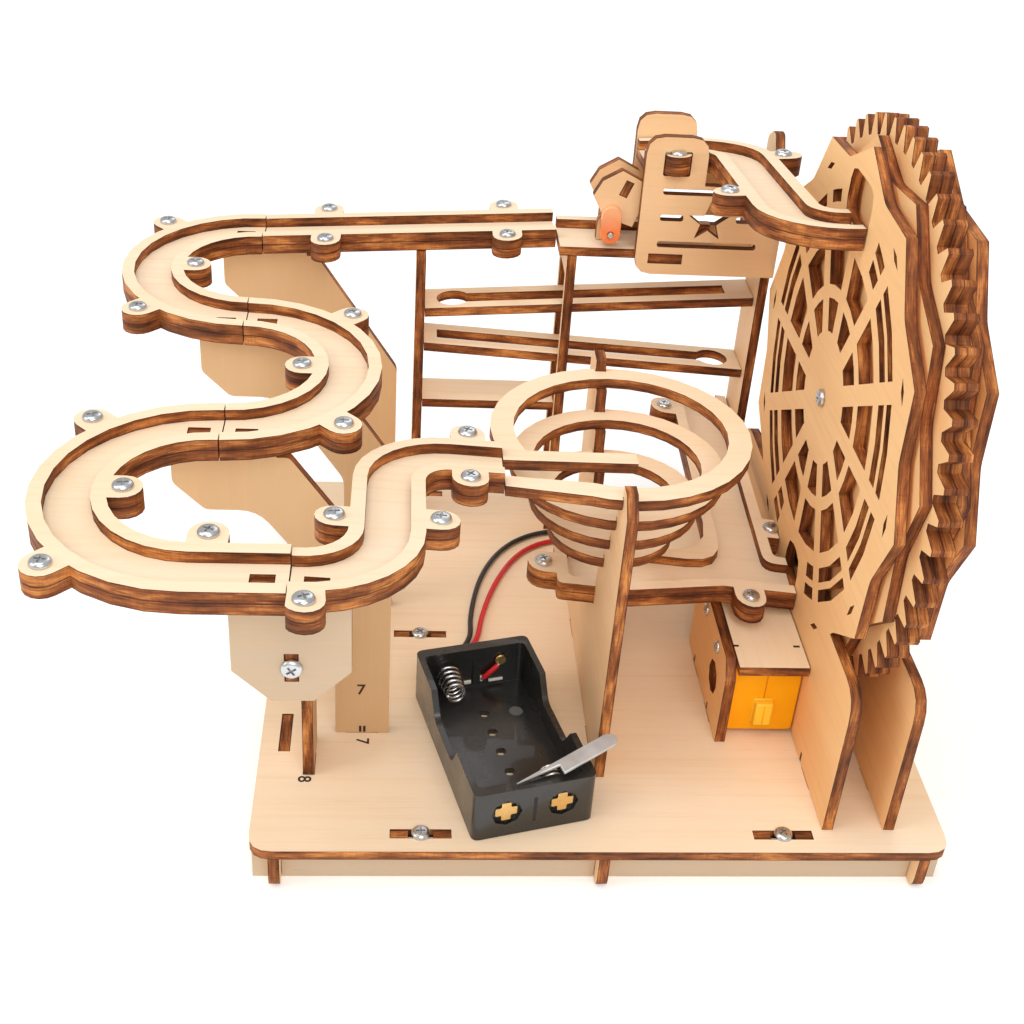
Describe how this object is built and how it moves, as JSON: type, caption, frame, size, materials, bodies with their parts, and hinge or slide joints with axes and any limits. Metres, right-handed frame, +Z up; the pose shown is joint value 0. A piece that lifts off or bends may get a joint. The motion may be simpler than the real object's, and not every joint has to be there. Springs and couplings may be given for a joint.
{
  "type": "wooden marble run puzzle",
  "caption": "Laser-cut plywood marble run: a motor-driven lifting wheel feeds an upper track, a tilting flipper, a curved run, a ring funnel, zigzag ramps and a tray.",
  "frame": {"origin": "centre of the base on the surface that the rails stand on", "axes": "+X to the right towards the lifting wheel, +Y from the front edge to the back, +Z up"},
  "size_m": [0.2209, 0.2012, 0.1748],
  "materials": {
    "plywood": "bare pale plywood faces with burnt brown cut edges",
    "zinc_steel": "zinc plated steel",
    "brass": "stamped brass sheet",
    "black_plastic": "moulded, slightly satin",
    "yellow_plastic": "moulded, slightly glossy",
    "orange_plastic": "smooth moulded",
    "white_plastic": "moulded",
    "red_sleeve": "soft wire sleeve",
    "black_sleeve": "soft wire sleeve",
    "grey_strip": "smooth grey film strip"
  },
  "bodies": {
    "frame": {"arm_plate_back": "plywood", "arm_plate_front": "plywood", "arm_plate_middle": "plywood", "base_plate": "plywood", "battery_case": "black_plastic", "contact_left": "brass", "contact_right": "brass", "contact_rivet": "brass", "cross_board_back": "plywood", "cross_board_front": "plywood", "cross_board_middle": "plywood", "curve_track_1": "plywood", "curve_track_2": "plywood", "curve_track_3": "plywood", "curve_track_4": "plywood", "flipper_bed": "plywood", "flipper_yoke": "plywood", "front_bracket": "plywood", "funnel_rib": "plywood", "funnel_ring_1": "plywood", "funnel_ring_2": "plywood", "funnel_ring_3": "plywood", "funnel_ring_4": "plywood", "gate_front": "plywood", "gate_rear": "plywood", "gearbox": "yellow_plastic", "leaning_support": "plywood", "motor_bracket": "plywood", "motor_can": "zinc_steel", "motor_cover": "plywood", "pull_strip": "grey_strip", "rail_left": "plywood", "rail_middle": "plywood", "rail_right": "plywood", "spring_front": "zinc_steel", "spring_rear": "zinc_steel", "straight_track": "plywood", "tray": "plywood", "upper_track": "plywood", "wheel_axle": "zinc_steel", "wheel_frame_left": "plywood", "wheel_frame_right": "plywood", "wire_black": "black_sleeve", "wire_red": "red_sleeve", "zigzag_board": "plywood", "zigzag_post_left": "plywood", "zigzag_post_middle": "plywood", "zigzag_post_right": "plywood", "zigzag_ramp_1": "plywood", "zigzag_ramp_2": "plywood"},
    "wheel": {"star_plate_left": "plywood", "lift_gear": "plywood", "star_plate_right": "plywood"},
    "pinion": {"motor_shaft": "white_plastic", "drive_pinion": "plywood"},
    "flipper": {"flipper_cheek_front": "plywood", "flipper_cheek_rear": "plywood", "flipper_spacer": "plywood", "flipper_hub": "orange_plastic", "flipper_pin": "zinc_steel"}
  },
  "joints": [
    {"name": "wheel_spin", "type": "hinge", "parent": "frame", "child": "wheel", "pos_m": [0.066, -0.00975, 0.1025], "axis": [1, 0, 0], "continuous": true},
    {"name": "pinion_spin", "type": "hinge", "parent": "frame", "child": "pinion", "pos_m": [0.066, -0.03135, 0.0262], "axis": [1, 0, 0], "continuous": true},
    {"name": "flipper_tilt", "type": "hinge", "parent": "frame", "child": "flipper", "pos_m": [0.0067, 0.06625, 0.1178], "axis": [0, 1, 0], "range_deg": [-40, 0]}
  ],
  "couplings": [
    {"joint": "pinion_spin", "follows": "wheel_spin", "ratio": -7.5}
  ]
}
